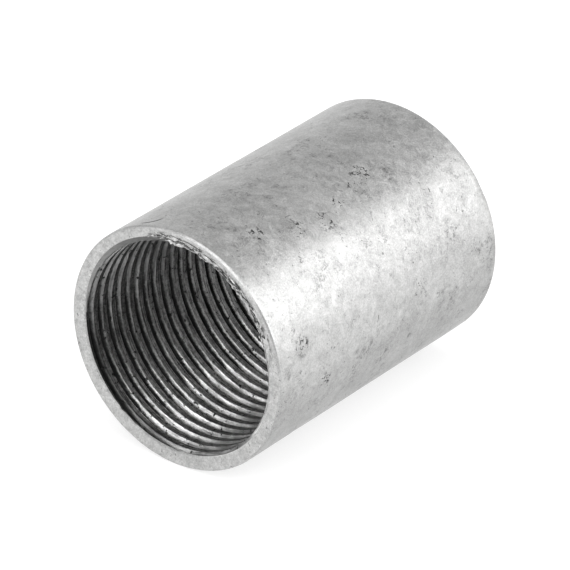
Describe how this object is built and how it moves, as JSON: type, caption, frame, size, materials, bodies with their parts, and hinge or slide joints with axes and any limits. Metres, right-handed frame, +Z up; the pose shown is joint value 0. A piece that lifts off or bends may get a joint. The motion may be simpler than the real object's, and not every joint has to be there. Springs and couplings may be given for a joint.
{
  "type": "pipe coupling",
  "caption": "Straight galvanised steel coupling sleeve, threaded inside from end to end, that joins two threaded conduit pipes end to end.",
  "frame": {"origin": "on the bore axis at the middle of the coupling's length", "axes": "+Y along the bore from the front mouth to the rear mouth, +Z up with the coupling lying on its side"},
  "size_m": [0.0276, 0.0382, 0.0276],
  "materials": {
    "galvanised_steel": "matte mottled zinc coating on the outside and rims, cut steel in the thread"
  },
  "bodies": {
    "root": {"coupling_body": "galvanised_steel"}
  },
  "joints": []
}
